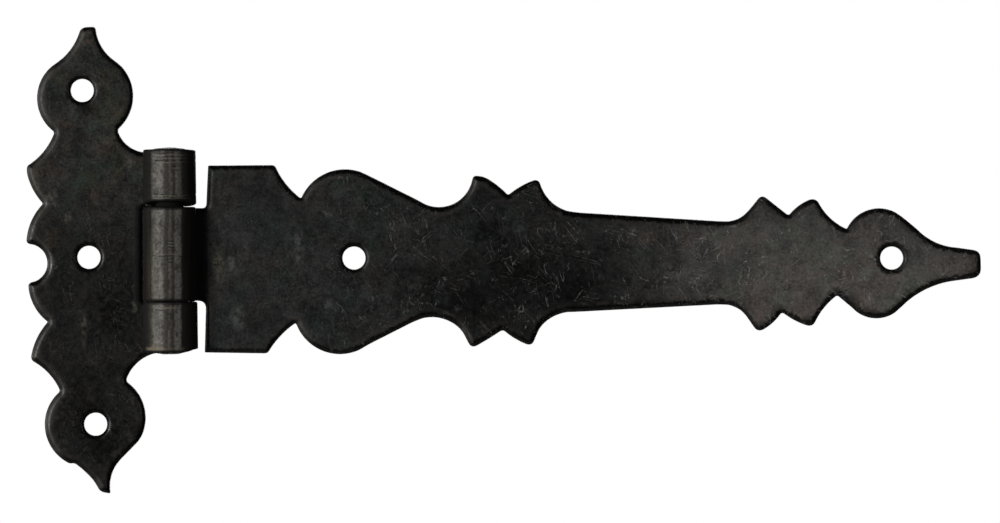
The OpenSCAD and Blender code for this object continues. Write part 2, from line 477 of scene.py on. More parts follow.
def inside(points, loop):
    """True for the points within a loop."""
    result = np.zeros(len(points), bool)
    ax, az = loop.T
    bx, bz = np.roll(loop, -1, axis=0).T
    for start in range(0, len(points), CHUNK):
        x, z = points[start:start + CHUNK].T
        crosses = (az[None] > z[:, None]) != (bz[None] > z[:, None])
        # Edges that run level divide by zero, and no point counts them
        with np.errstate(divide="ignore", invalid="ignore"):
            at = ax + (z[:, None] - az) / (bz - az) * (bx - ax)
        result[start:start + CHUNK] = (crosses & (x[:, None] < at)).sum(1) % 2 == 1
    return result


def spaced(points, step):
    """The points of a ring, less those that crowd the one kept before."""
    kept = []
    for p in points:
        if not kept or np.linalg.norm(p - kept[-1]) >= step:
            kept.append(p)
    return np.array(kept).reshape(-1, 2)


def ring_points(loops, loop, distance, step):
    """Points at one distance inside a loop, and no nearer to any other part of the edge."""
    ring = spaced(loop + inward_normals(loop) * distance, step)
    return ring[edge_distance(ring, loops) > 0.97 * distance]


def grid_points(low, high, step_u, step_z, shift):
    """A grid of points, every second row moved along by a part of a step."""
    us = np.arange(low[0], high[0], step_u)
    zs = np.arange(low[1], high[1], step_z)
    u, z = np.meshgrid(us, zs)
    u = u + shift * step_u * (np.arange(len(zs)) % 2)[:, None]
    return np.column_stack([u.ravel(), z.ravel()])


def mesh_points(loops, side, rounds):
    """Points for a leaf's flat layout: its loops, rings inside them, and grids over the rest."""
    outline = loops[0]
    batches = list(loops)
    for loop, size in zip(loops, rounds):
        batches += [ring_points(loops, loop, size * q, RING_STEP) for q in RINGS]
    batches.append(ring_points(loops, outline, OUTER_RING, OUTER_RING_STEP))
    low, high = outline.min(0), outline.max(0)
    plate = grid_points(low, high, GRID_STEP, GRID_ROW_STEP, 0.5)
    tabs = grid_points(low, high, TAB_STEP_U, TAB_STEP_Z, 0)
    for grid, wanted, room in (
        (plate, side * plate[:, 0] > TAB_GRID_EDGE, OUTER_RING + 0.4),
        (tabs, side * tabs[:, 0] <= TAB_GRID_EDGE, FRONT_ROUND * RINGS[-1]),
    ):
        grid = grid[wanted]
        grid = grid[inside(grid, outline)]
        batches.append(grid[edge_distance(grid, loops) > room])
    return np.concatenate(batches)


def flat_mesh(loops, side, rounds):
    """Triangles over a leaf's flat layout: its points, their distances to the outline and to
    the nearest hole, the triangles and the loops' point numbers."""
    outline, holes = loops[0], loops[1:]
    constraints, start, numbers = [], 0, []
    for loop in loops:
        ids = np.arange(start, start + len(loop))
        numbers.append(ids)
        constraints += zip(ids.tolist(), np.roll(ids, -1).tolist())
        start += len(loop)
    flat = [Vector(p) for p in mesh_points(loops, side, rounds).tolist()]
    verts, _, faces, origin, _, _ = delaunay_2d_cdt(flat, constraints, [], 1, 1e-6)
    place = {i: v for v, ids in enumerate(origin) for i in ids}
    points = np.array([v[:] for v in verts])
    faces = np.array([f[:] for f in faces])
    middles = points[faces].mean(1)
    for hole in holes:
        keep = ~inside(middles, hole)
        faces, middles = faces[keep], middles[keep]
    numbers = [np.array([place[i] for i in ids]) for ids in numbers]
    gaps = [edge_distance(points, part) for part in ([outline], holes)]
    gaps[0][numbers[0]] = 0
    gaps[1][np.concatenate(numbers[1:])] = 0
    return points, gaps, faces, numbers


# From the flat layout to the leaf

def smooth(start, end, value):
    """From 0 to 1, smoothly, as value goes from start to end."""
    t = np.clip((value - start) / (end - start), 0, 1)
    return t * t * (3 - 2 * t)


def rounded_drop(gap, size):
    """How far a rounded edge of that radius lies below the face, at a distance from the edge."""
    inner = np.clip(size - gap, 0, None)
    return size - np.sqrt(np.clip(size ** 2 - inner ** 2, 0, None))


def sheet_wave(u, z, seed):
    """Gentle unevenness of the sheet."""
    total = np.zeros(len(u))
    for i, (a, b) in enumerate(zip(u, z)):
        at = Vector((a, b, seed))
        ripple = noise.noise(at * 0.16 + Vector((7, 3, 0)))
        total[i] = WAVE * noise.noise(at * 0.045) + RIPPLE * ripple
    return total


def face_wave(u, z, seed):
    """Shallow dents in the sheet's faces."""
    return np.array([DENTS * noise.noise(Vector((a, b, seed)) * 0.42) for a, b in zip(u, z)])


def rolled(sheet, side):
    """Where points of the flat layout lie once the tabs are rolled round the pin."""
    u, z, w = sheet.T
    on_tab = side * u < 0
    angle = np.clip(-side * u, 0, None) / ROLL_MID_R
    radius = ROLL_MID_R + w
    x = np.where(on_tab, -side * radius * np.sin(angle), u)
    y = np.where(on_tab, radius * np.cos(angle) + PIN_Y, w - SHEET_T / 2)
    return np.column_stack([x, y, z])


def add_mesh(name, points, faces, body, node, material, floats, vectors=()):
    """A piece from points in millimetres, with values and vectors for its material to read."""
    mesh = bpy.data.meshes.new(name)
    mesh.from_pydata((points * MM).tolist(), [], faces)
    for key, values in floats.items():
        data = mesh.attributes.new(key, "FLOAT", "POINT").data
        data.foreach_set("value", values.astype(np.float32))
    for key, values in dict(vectors).items():
        data = mesh.attributes.new(key, "FLOAT_VECTOR", "POINT").data
        data.foreach_set("vector", values.astype(np.float32).ravel())
    mesh.polygons.foreach_set("use_smooth", [True] * len(mesh.polygons))
    mesh.materials.append(material)
    mesh.update()
    piece = bpy.data.objects.new(name, mesh)
    bpy.context.scene.collection.objects.link(piece)
    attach(piece, body)
    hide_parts(node)


def face_depths(flat, gap, hole_gap, side, seed, grooves):
    """How far through the sheet its front and its back lie at each point."""
    u, z = flat.T
    tab = smooth(0, 2.5, -side * u)
    front_size = FRONT_ROUND + (BORE_SIDE_ROUND - FRONT_ROUND) * tab
    back_size = BACK_ROUND + (KNUCKLE_ROUND - BACK_ROUND) * tab
    front = rounded_drop(gap, front_size) + rounded_drop(hole_gap, HOLE_ROUND) - SHEET_T / 2
    back = SHEET_T / 2 - rounded_drop(gap, back_size) - rounded_drop(hole_gap, BACK_ROUND)
    wave = sheet_wave(u, z, seed) * smooth(3, 14, side * u)
    front = front + wave + face_wave(u, z, seed + 5) * (1 - tab)
    back = back + wave * 0.5 + face_wave(u, z, seed + 9)
    for at, depth, width in grooves:
        back = back - tab * depth * np.exp(-((z - at) / width) ** 2)
    return front, back


def wall_points(loop, front, back, seed):
    """Rows of points down one cut edge, from its front to its back, a little rough."""
    outward = -inward_normals(loop)
    rows = []
    for row in range(1, WALL_ROWS + 1):
        t = row / (WALL_ROWS + 1)
        rough = np.array([noise.noise(Vector((a, b, 3 * t + seed)) * 1.3) for a, b in loop])
        at = loop + outward * (WALL_ROUGHNESS * rough)[:, None]
        rows.append(np.column_stack([at, front * (1 - t) + back * t]))
    return rows


def leaf_arrays(rows, holes, side, seed, grooves):
    """Points of one leaf's flat layout, three values for each, and the triangles. The values
    are how far the outline and the nearest hole are, and how squarely the nearest edge faces
    left."""
    loops = [outline_points(rows)] + [hole_points(h) for h in holes]
    rounds = [FRONT_ROUND] + [HOLE_ROUND] * len(holes)
    flat, (gap, hole_gap), faces, numbers = flat_mesh(loops, side, rounds)
    front, back = face_depths(flat, gap, hole_gap, side, seed, grooves)
    lit = edge_facing(flat, np.minimum(gap, hole_gap), loops)
    edges = np.column_stack([gap, hole_gap, lit])
    count = len(flat)
    points = [np.column_stack([flat, front]), np.column_stack([flat, back])]
    all_edges = [edges, edges]
    all_faces = [faces[:, ::-1], faces + count]
    start = 2 * count
    for ids, loop in zip(numbers, loops):
        points += wall_points(loop, front[ids], back[ids], seed)
        all_edges += [edges[ids]] * WALL_ROWS
        levels = [ids]
        for _ in range(WALL_ROWS):
            levels.append(np.arange(start, start + len(ids)))
            start += len(ids)
        levels.append(ids + count)
        for upper, lower in zip(levels, levels[1:]):
            after_upper, after_lower = np.roll(upper, -1), np.roll(lower, -1)
            all_faces.append(np.column_stack([upper, after_upper, lower]))
            all_faces.append(np.column_stack([after_upper, after_lower, lower]))
    return np.concatenate(points), np.concatenate(all_edges).T, np.concatenate(all_faces)


def uneven_ends(points, flat):
    """The jamb's knuckles as rolled by hand: a little wider low down, and uneven at their ends."""
    x, y, z = points.T
    tab = smooth(1.5, 5, flat[:, 0])
    x = x + tab * WIDENING * (JAMB_TOP - z) * smooth(0.5, 5.5, x)
    # The bottom end is worn away towards the right
    bottom = smooth(JAMB_BOTTOM + END_REACH, JAMB_BOTTOM, z) * (z < WINDOW_BOTTOM)
    z = z + tab * bottom * (END_WEAR * smooth(2.6, 5.8, x) - END_LOW)
    # The top end is highest in the middle
    top = smooth(JAMB_TOP - END_REACH, JAMB_TOP, z)
    arch = TOP_RISE * smooth(4.5, 0.0, np.abs(x)) - TOP_DROP * smooth(3.5, 5.6, x)
    z = z + tab * top * arch
    return np.column_stack([x, y, z])


def make_leaf(
        name, body, node, rows, holes, side, seed, grooves, material, fit_ends=None):
    """One leaf. Its plate lies on side 1, right of the pin, or -1, left of it."""
    flat, (gap, hole_gap, lit), faces = leaf_arrays(rows, holes, side, seed, grooves)
    points = rolled(flat, side)
    if fit_ends:
        points = fit_ends(points, flat)
    to_cusp = np.linalg.norm(flat[:, None, :2] - cusps(rows, side)[None], axis=2).min(1)
    floats = {
        "edge": gap,
        "hole": hole_gap,
        "lit": lit,
        "knuckle": smooth(0.5, 5, -side * flat[:, 0]),
        "cusp": smooth(3.2, 0.8, to_cusp),
    }
    add_mesh(name, points, faces.tolist(), body, node, material, floats, {"sheet": flat})


# The pin

def pin_profile():
    """Radius and height along the pin, from the middle of its bottom head to its top."""
    rows = [(r, JAMB_BOTTOM - h) for r, h in HEAD_PROFILE]
    rows.append((PIN_R, JAMB_BOTTOM))
    rows += [(PIN_R, z) for z in np.linspace(JAMB_BOTTOM + 0.6, JAMB_TOP - 0.6, PIN_RINGS)]
    rows.append((PIN_R, JAMB_TOP))
    rows += [(r, JAMB_TOP + h) for r, h in reversed(HEAD_PROFILE)]
    return rows


def hammered(x, y, z):
    """A point of the pin's heads, moved as a hammer would."""
    spread = 1.0 + HEAD_SPREAD * noise.noise(Vector((x, y, z)) * 0.55)
    lift = math.copysign(HEAD_LIFT, z) * noise.noise(Vector((x, y, 40 + z)) * 0.5)
    return x * spread, y * spread, z + lift


def make_pin(material):
    points, heads = [], []
    for r, z in pin_profile():
        on_head = z < JAMB_BOTTOM or z > JAMB_TOP
        for k in range(PIN_SIDES):
            angle = 2 * math.pi * k / PIN_SIDES
            point = (r * math.cos(angle), r * math.sin(angle), z)
            points.append(hammered(*point) if on_head else point)
            heads.append(2.0 if on_head else 0.0)
    rings = len(points) // PIN_SIDES
    faces = []
    for ring in range(rings - 1):
        for k in range(PIN_SIDES):
            a, b = ring * PIN_SIDES + k, ring * PIN_SIDES + (k + 1) % PIN_SIDES
            faces.append((a, b, b + PIN_SIDES, a + PIN_SIDES))
    faces.append(tuple(reversed(range(PIN_SIDES))))
    faces.append(tuple(range((rings - 1) * PIN_SIDES, rings * PIN_SIDES)))
    add_mesh(
        "peened_pin", np.array(points) + (0, PIN_Y, 0), faces, "jamb", "hinge_pin",
        material, {"head": np.array(heads)})


# Materials

class Nodes:
    """Short ways to add nodes to one material."""

    def __init__(self, name):
        self.material = bpy.data.materials.new(name)
        self.material.use_nodes = True
        self.tree = self.material.node_tree
        self.shader = self.tree.nodes["Principled BSDF"]

    def put(self, value, socket):
        """Links a node's output to a socket, or sets the socket to a plain value."""
        if isinstance(value, bpy.types.NodeSocket):
            self.tree.links.new(value, socket)
        else:
            socket.default_value = value

    def attribute(self, name, output):
        node = self.tree.nodes.new("ShaderNodeAttribute")
        node.attribute_name = name
        return node.outputs[output]

    def math(self, operation, a, b=0.0):
        node = self.tree.nodes.new("ShaderNodeMath")
        node.operation = operation
        self.put(a, node.inputs[0])
        self.put(b, node.inputs[1])
        return node.outputs[0]

    def chain(self, operation, values):
        result = values[0]
        for value in values[1:]:
            result = self.math(operation, result, value)
        return result

    def plus(self, *values):
        return self.chain("ADD", values)

    def less(self, a, b):
        return self.math("SUBTRACT", a, b)

    def times(self, *values):
        return self.chain("MULTIPLY", values)

    def most(self, *values):
        return self.chain("MAXIMUM", values)

    def band(self, value, low, high, start=0.0, end=1.0):
        """From start to end, smoothly, as value goes from low to high."""
        node = self.tree.nodes.new("ShaderNodeMapRange")
        node.interpolation_type = "SMOOTHSTEP"
        self.put(value, node.inputs["Value"])
        backwards = low > high
        node.inputs["From Min"].default_value = high if backwards else low
        node.inputs["From Max"].default_value = low if backwards else high
        node.inputs["To Min"].default_value = end if backwards else start
        node.inputs["To Max"].default_value = start if backwards else end
        return node.outputs["Result"]

    def hump(self, value, middle, inner, outer):
        """1 within inner of the middle, falling to 0 at outer."""
        away = self.math("ABSOLUTE", self.less(value, middle))
        return self.band(away, outer, inner)

    def stretched(self, vector, scale=(1, 1, 1), turn=0.0, shift=(0, 0, 0)):
        node = self.tree.nodes.new("ShaderNodeMapping")
        self.put(vector, node.inputs["Vector"])
        node.inputs["Scale"].default_value = scale
        node.inputs["Rotation"].default_value = (0, 0, math.radians(turn))
        node.inputs["Location"].default_value = shift
        return node.outputs[0]

    def cloud(self, vector, scale, shift, low, high, detail=4.0, roughness=0.62):
        """Soft patches: from 0 to 1 as a noise goes from low to high."""
        moved = self.stretched(vector, shift=(*shift, 0))
        return self.band(self.noise(moved, scale, detail, roughness), low, high)

    def noise(self, vector, scale, detail=3.0, roughness=0.55, distortion=0.0):
        node = self.tree.nodes.new("ShaderNodeTexNoise")
        self.put(vector, node.inputs["Vector"])
        node.inputs["Scale"].default_value = scale
        node.inputs["Detail"].default_value = detail
        node.inputs["Roughness"].default_value = roughness
        node.inputs["Distortion"].default_value = distortion
        return node.outputs["Fac"]

    def cells(self, vector, scale):
        """The distance to the nearest of many scattered points, and a colour for each."""
        node = self.tree.nodes.new("ShaderNodeTexVoronoi")
        self.put(vector, node.inputs["Vector"])
        node.inputs["Scale"].default_value = scale
        return node.outputs["Distance"], node.outputs["Color"]

    def split(self, vector):
        node = self.tree.nodes.new("ShaderNodeSeparateXYZ")
        self.put(vector, node.inputs[0])
        return node.outputs[0], node.outputs[1], node.outputs[2]

    def mix(self, share, a, b, blend="MIX"):
        node = self.tree.nodes.new("ShaderNodeMix")
        node.data_type = "RGBA"
        node.blend_type = blend
        node.clamp_factor = True
        self.put(share, node.inputs[0])
        self.put(a + (1,) if isinstance(a, tuple) else a, node.inputs[6])
        self.put(b + (1,) if isinstance(b, tuple) else b, node.inputs[7])
        return node.outputs[2]

    def grey(self, value):
        node = self.tree.nodes.new("ShaderNodeCombineColor")
        for socket in node.inputs[:3]:
            self.put(value, socket)
        return node.outputs[0]

    def bump(self, height, distance):
        """A bump from a height of 0 to 1, which stands for a distance in metres."""
        node = self.tree.nodes.new("ShaderNodeBump")
        node.inputs["Distance"].default_value = distance
        self.put(height, node.inputs["Height"])
        return node.outputs[0]

    def place(self):
        """The point's place in the piece, in millimetres."""
        coordinates = self.tree.nodes.new("ShaderNodeTexCoord")
        return self.stretched(coordinates.outputs["Object"], (1 / MM, 1 / MM, 1 / MM))

    def hairlines(self, vector, scale, width, distortion=0.0):
        """Thin lines that wander, where a noise passes its middle value."""
        value = self.noise(vector, scale, 1.0, 0.4, distortion)
        return self.hump(value, 0.5, width * 0.3, width)


def iron_scale(nodes, shifted, x, lightness):
    """The black scale itself: cloudy, tinted green and brown, and mottled."""
    tinted = nodes.band(x, 125, 60, 0.45, 1.0)
    base = nodes.mix(nodes.cloud(shifted, 0.05, (0, 0), 0.36, 0.64), SCALE_DARK, SCALE_PALE)
    green = nodes.times(nodes.cloud(shifted, 0.11, (31, -31), 0.46, 0.64), tinted)
    base = nodes.mix(green, base, GREEN_TINT, "MULTIPLY")
    brown = nodes.times(
        nodes.cloud(shifted, 0.13, (41, -41), 0.48, 0.66), tinted, nodes.band(x, 0, 15, 1.0, 0.45))
    base = nodes.mix(brown, base, BROWN_TINT, "MULTIPLY")
    fine = nodes.noise(shifted, 1.7, 6.0, 0.75)
    patchy = nodes.noise(nodes.stretched(shifted, shift=(61, 5, 0)), 0.3, 5.0, 0.7)
    upright = nodes.noise(nodes.stretched(shifted, (2.4, 0.35, 1)), 0.9, 3.0)
    mottle = nodes.plus(
        nodes.band(fine, 0.3, 0.7, 0.0, 1.9),
        nodes.band(patchy, 0.3, 0.7, -0.7, 1.0),
        nodes.band(upright, 0.35, 0.7, -0.15, 0.2))
    # The mottling is weaker towards the tip, and never takes the colour away
    mottle = nodes.plus(nodes.times(nodes.less(mottle, 1.05), tinted), 1.05)
    mottle = nodes.most(mottle, 0.2)
    base = nodes.mix(1.0, base, nodes.grey(nodes.times(mottle, lightness)), "MULTIPLY")
    dusty = nodes.times(
        nodes.cloud(shifted, 0.22, (7, -7), 0.54, 0.70, 5.0, 0.7),
        nodes.cloud(shifted, 1.1, (3, -3), 0.35, 0.65))
    return nodes.mix(nodes.times(dusty, 0.42), base, DUST)


def patch(nodes, shifted, x, z, where):
    """A soft blot with a wandering outline. Where is x, z, half width and half height."""
    at_x, at_z, half_x, half_z = where
    drift = nodes.less(nodes.cloud(shifted, 0.5, (at_z, -at_z), 0.2, 0.8), 0.5)
    drift = nodes.times(drift, 0.8 * min(half_x, half_z))
    return nodes.times(
        nodes.hump(nodes.plus(x, drift), at_x, 0.2 * half_x, half_x),
        nodes.hump(nodes.less(z, drift), at_z, 0.2 * half_z, half_z))


def smudged(nodes, shifted, x, z, base, smudges):
    """Streaky pale smudges over the base, and where they are."""
    places = []
    for *where, colour in smudges:
        here = patch(nodes, shifted, x, z, where)
        streaks = nodes.cloud(shifted, 0.9, (where[0], -where[0]), 0.38, 0.62, 5.0, 0.7)
        base = nodes.mix(nodes.times(here, streaks, 0.65), base, colour)
        places.append(here)
    return base, nodes.most(*places)


def stained(nodes, shifted, x, z, base, stains):
    """Dark stains over the base, and where they are."""
    places = []
    for where in stains:
        cloudy = nodes.cloud(shifted, 0.25, (where[0], -where[0]), 0.3, 0.55)
        places.append(nodes.times(patch(nodes, shifted, x, z, where), cloudy))
    found = nodes.most(*places)
    return nodes.mix(nodes.times(found, 0.75), base, STAIN), found


def rubbed_edges_and_painted_highlight(nodes, shifted, wear, base):
    """Brown rims where hands and screws have rubbed the edges, most of all at the cusps, and a
    painted highlight along the edges that face left, towards the light.
    """
    rubbed = nodes.cloud(shifted, 0.32, (15, -15), 0.42, 0.68)
    rim = nodes.times(
        nodes.hump(wear["edge"], 1.3, 0.25, 0.9), nodes.band(rubbed, 0, 1, 0.1, 0.8))
    base = nodes.mix(rim, base, RIM_BROWN)
    # Painted highlight: edges that face left, towards the light, are painted paler
    left = nodes.times(
        wear["lit"], nodes.band(wear["edge"], 1.5, 0.3), nodes.band(rubbed, 0, 1, 0.35, 0.9))
    base = nodes.mix(left, base, RIM_LIT)
    tips = nodes.times(wear["cusp"], nodes.band(rubbed, 0, 1, 0.25, 0.8))
    return nodes.mix(tips, base, CUSP_BROWN)


def painted_edge_shade(nodes, shifted, x, wear, base):
    """Painted shade on the cut edges and in the holes, where they face away from the light, and
    where that is. Edges that face left, towards the light, are spared.
    """
    waver = nodes.band(nodes.cloud(shifted, 1.2, (9, -9), 0.3, 0.7), 0, 1, 0.2, -0.2)
    nearest = nodes.plus(nodes.math("MINIMUM", wear["edge"], wear["hole"]), waver)
    nearest = nodes.less(nearest, nodes.band(x, 20, 60, 0.0, 0.2))
    spared = nodes.times(wear["lit"], nodes.band(x, 110, 40, 0.3, 1.0))
    black = nodes.times(nodes.band(nearest, 1.15, 0.6), nodes.band(spared, 0, 1, 0.97, 0.0))
    return nodes.mix(black, base, PAINTED_EDGE_SHADE), black


def iron_scratches(nodes, shifted, rubs, amount):
    """Pale hairlines: curls in patches, straighter strokes, and specks."""
    def cloud(scale, shift, low, high):
        return nodes.cloud(shifted, scale, (shift, 17), low, high, 3.0, 0.6)

    patches = nodes.most(cloud(0.08, 11, 0.44, 0.62), rubs)
    curls = nodes.hairlines(shifted, 0.33, 0.012, 0.4)
    small_curls = nodes.hairlines(nodes.stretched(shifted, shift=(71, 3, 0)), 0.62, 0.016, 0.7)
    found = [
        nodes.times(curls, cloud(0.45, 5, 0.5, 0.62), patches),
        nodes.times(small_curls, cloud(0.6, 83, 0.52, 0.62), patches),
    ]
    for turn, stretch in SCRATCH_WAYS:
        turned = nodes.stretched(shifted, turn=turn, shift=(turn, 9, 0))
        lines = nodes.hairlines(nodes.stretched(turned, (stretch, 1, 1)), 0.6, 0.008, 0.15)
        found.append(nodes.times(lines, cloud(0.22, turn, 0.54, 0.64), 0.75))
    distance, colour = nodes.cells(shifted, 0.6)
    chosen = nodes.band(nodes.split(colour)[0], 0.86, 0.9)
    found.append(nodes.times(nodes.band(distance, 0.14, 0.04), chosen, patches))
    uneven = nodes.band(nodes.noise(shifted, 1.7, 2.0), 0.35, 0.6, 0.4, 1.3)
    return nodes.times(nodes.most(*found), amount, uneven)


def worn_front(nodes, ragged, z, knuckle):
    """Where a knuckle's front is bare. On the upper one it fades out slowly to the right."""
    right = nodes.plus(
        nodes.times(nodes.band(ragged, 4.7, 1.0), nodes.band(z, 10.8, 11)),
        nodes.times(nodes.band(ragged, 3.1, 2.4), nodes.band(z, 11, 10.8)))
    return nodes.times(nodes.band(ragged, -3.95, -3.1), right, knuckle)


def bare_steel(nodes, sheet, seed, ragged, waver, streak):
    """The bare metal's colours: upright streaks and bands, painted shade over its right-hand part
    away from the light, blackened patches and freckles.
    """
    steel = nodes.mix(nodes.band(streak, 0.32, 0.68), STEEL_DULL, STEEL_PALE)
    # Painted shade: right of the middle, away from the light, the bare metal is darker
    steel = nodes.mix(nodes.band(ragged, -1.5, -0.7), steel, STEEL_SHADED)
    steel = nodes.mix(nodes.hump(ragged, 0.3, 0.1, 0.5), steel, STEEL_MIDDLE)
    steel = nodes.mix(nodes.hump(ragged, 1.95, 0.45, 0.9), steel, STEEL_STRIPE)
    brown = nodes.times(
        nodes.hump(ragged, -0.4, 0.1, 0.5), nodes.band(streak, 0.7, 0.35, 0.55, 1.0))
    steel = nodes.mix(nodes.times(brown, 0.7), steel, STEEL_BROWN)
    blotch = nodes.noise(nodes.stretched(sheet, (1, 0.45, 1), shift=(seed, 3, 0)), 0.75, 5.0, 0.68)
    steel = nodes.mix(nodes.band(blotch, 0.48, 0.64, 0.0, 0.75), steel, STEEL_BLACKENED)
    grit = nodes.noise(nodes.stretched(sheet, (1, 0.7, 1), shift=(seed, 31, 0)), 2.6, 5.0, 0.75)
    steel = nodes.mix(1.0, steel, nodes.grey(nodes.band(grit, 0.3, 0.7, 0.55, 1.5)), "MULTIPLY")
    distance, colour = nodes.cells(nodes.stretched(sheet, shift=(seed, 0, 0)), 2.4)
    chosen = nodes.band(nodes.split(colour)[0], 0.72, 0.8)
    freckles = nodes.times(
        nodes.band(distance, 0.3, 0.1), chosen, nodes.band(blotch, 0.55, 0.4), 0.7)
    steel = nodes.mix(freckles, steel, FRECKLE)
    yellow = nodes.times(
        nodes.hump(ragged, -3.0, 0.1, 0.35), nodes.band(waver, 0.45, 0.6), 0.45)
    return nodes.mix(yellow, steel, YELLOW_STREAK)


def marks_across(nodes, place, rows):
    """Fine, slightly bent and broken lines across the knuckles."""
    x, _, z = nodes.split(place)
    bent = nodes.plus(z, nodes.band(nodes.noise(place, 0.5, 2.0), 0.3, 0.7, -0.09, 0.09))
    broken = nodes.band(nodes.noise(nodes.stretched(place, (1, 1, 3)), 1.1, 3.0), 0.36, 0.52)
    lines = []
    for height, width, first, last in rows:
        middle, half = (first + last) / 2, (last - first) / 2
        lines.append(nodes.times(
            nodes.hump(bent, height, width * 0.3, width), nodes.hump(x, middle, half - 0.4, half)))
    return nodes.times(nodes.most(*lines), broken)


def knuckle_colours(nodes, sheet, place, seed, wear, base, look):
    """The knuckles' colours over the base, with painted shade at their cut ends, where they are
    bare, and the streaks in them.
    """
    x, _, z = nodes.split(place)
    knuckle = wear["knuckle"]
    streak = nodes.noise(nodes.stretched(sheet, (1, 0.05, 1), shift=(seed, 0, 0)), 1.3, 4.0, 0.6)
    waver = nodes.noise(
        nodes.stretched(sheet, (0.3, 0.2, 1), shift=(seed, 8, 0)), 0.8, 5.0, 0.65)
    ragged = nodes.plus(x, nodes.band(waver, 0.2, 0.8, -0.22, 0.22))
    worn = worn_front(nodes, ragged, z, knuckle)
    flank = nodes.mix(nodes.band(streak, 0.4, 0.6), FLANK_BLACK, FLANK_BROWN)
    olive = nodes.times(
        nodes.hump(x, -3.9, 0.2, 0.8), nodes.band(z, 9, 2),
        nodes.band(streak, 0.4, 0.6, 0.3, 1.0), 0.8)
    base = nodes.mix(knuckle, base, nodes.mix(olive, flank, FLANK_OLIVE))
    base = nodes.mix(worn, base, bare_steel(nodes, sheet, seed, ragged, waver, streak))
    front = nodes.times(knuckle, nodes.hump(x, 0.3, 4.3, 5.2))
    bright = nodes.times(marks_across(nodes, place, look["bright_marks"]), front, 0.8)
    base = nodes.mix(bright, base, nodes.mix(worn, MARK_DULL, MARK_BRIGHT))
    dark = nodes.times(marks_across(nodes, place, look["dark_marks"]), front, 0.9)
    base = nodes.mix(dark, base, MARK_DARK)
    # Painted shade: the knuckles' cut ends, in the gaps between them, are painted near black
    ends = nodes.times(nodes.band(wear["edge"], 0.85, 0.3, 0.0, 0.9), knuckle)
    return nodes.mix(ends, base, PAINTED_END_SHADE), worn, streak


def brassy_band(nodes, shifted, x, z):
    """Brassy wear along the bottom of the lower knuckle."""
    return nodes.times(
        nodes.hump(z, -18.95, 0.15, 0.5),
        nodes.band(x, 0.2, -1.6, 0.25, 1.0),
        nodes.band(x, -5.2, -4.0),
        nodes.band(x, 3.6, 3.0),
        nodes.band(nodes.noise(shifted, 1.3, 4.0, 0.6), 0.36, 0.56, 0.35, 1.0))


def iron_roughness(nodes, shifted, level, glossy, dull, worn):
    """The plates' roughness: less where the finish is thick, more where steel is bare."""
    gloss = nodes.band(nodes.noise(shifted, 0.9, 6.0, 0.72), 0.3, 0.7, -0.09, 0.09)
    gloss = nodes.less(nodes.plus(gloss, level), nodes.times(glossy, 0.11))
    return nodes.plus(gloss, nodes.times(worn, 0.16), nodes.times(dull, 0.3))


def iron_bump(nodes, shifted, scratches, ridges):
    grain = nodes.noise(shifted, 2.6, 6.0, 0.7)
    pits, _ = nodes.cells(shifted, 0.8)
    height = nodes.plus(nodes.times(grain, 0.6), nodes.band(pits, 0.0, 0.3, 0.0, 0.25))
    height = nodes.less(height, nodes.times(scratches, 0.5))
    return nodes.bump(nodes.plus(height, nodes.times(ridges, 0.8)), IRON_BUMP)


def iron_material(name, seed, lightness, roughness, look, brassy):
    """The finish of one leaf, with painted shade and highlight on its edges. Lightness and
    roughness are functions of nodes, x and z.
    """
    nodes = Nodes(name)
    sheet = nodes.attribute("sheet", "Vector")
    shifted = nodes.stretched(sheet, shift=(seed, seed * 0.7, 0))
    wear = {
        key: nodes.attribute(key, "Fac") for key in ("edge", "hole", "lit", "cusp", "knuckle")}
    plain = nodes.less(1.0, wear["knuckle"])
    place = nodes.place()
    x, _, z = nodes.split(place)

    # The plate, by its place in the flat layout
    u, v, _ = nodes.split(sheet)
    base = iron_scale(nodes, shifted, u, lightness(nodes, x, z))
    base, rubs = smudged(nodes, shifted, u, v, base, look["smudges"])
    base, stains = stained(nodes, shifted, u, v, base, look["stains"])
    base = nodes.mix(nodes.band(u, 80, 125), base, WARM_TIP_TINT, "MULTIPLY")
    base = nodes.mix(nodes.band(u, 10, -5), base, WARM_ROOT_TINT, "MULTIPLY")
    # Rubbed rims, and a painted highlight on the edges that face the light
    base = rubbed_edges_and_painted_highlight(nodes, shifted, wear, base)
    # Painted shade on the edges that face away from the light
    base, black = painted_edge_shade(nodes, shifted, u, wear, base)
    scratches = iron_scratches(nodes, shifted, rubs, nodes.band(x, 15, 55, 0.4, 1.0))
    pale = nodes.mix(nodes.band(x, 60, 120), SCRATCH_GREY, SCRATCH_PALE)
    base = nodes.mix(nodes.times(scratches, plain, 0.8), base, pale)

    # Painted shade: the neck beside the knuckle is painted quite black, where the knuckle's shadow
    # falls
    neck = nodes.times(nodes.hump(x, 0, 7.0, 7.9), plain, nodes.hump(z, 0.8, 10, 11))
    base = nodes.mix(nodes.times(neck, 0.85), base, PAINTED_NECK_SHADE)

    base, worn, streak = knuckle_colours(nodes, sheet, place, seed, wear, base, look)
    if brassy:
        band = brassy_band(nodes, shifted, x, z)
        base = nodes.mix(band, base, BRASSY)
        worn = nodes.most(worn, band)

    glossy = nodes.times(nodes.most(stains, black), plain)
    dull = nodes.most(nodes.times(wear["knuckle"], nodes.less(1.0, worn)), neck)
    level = roughness(nodes, x, z)
    nodes.put(base, nodes.shader.inputs["Base Color"])
    nodes.put(nodes.band(worn, 0, 1, 0.0, 0.25), nodes.shader.inputs["Metallic"])
    nodes.put(
        iron_roughness(nodes, shifted, level, glossy, dull, worn), nodes.shader.inputs["Roughness"])
    nodes.shader.inputs["Specular IOR Level"].default_value = IRON_SPECULAR
    ridges = nodes.times(streak, wear["knuckle"])
    nodes.put(iron_bump(nodes, shifted, scratches, ridges), nodes.shader.inputs["Normal"])
    return nodes.material


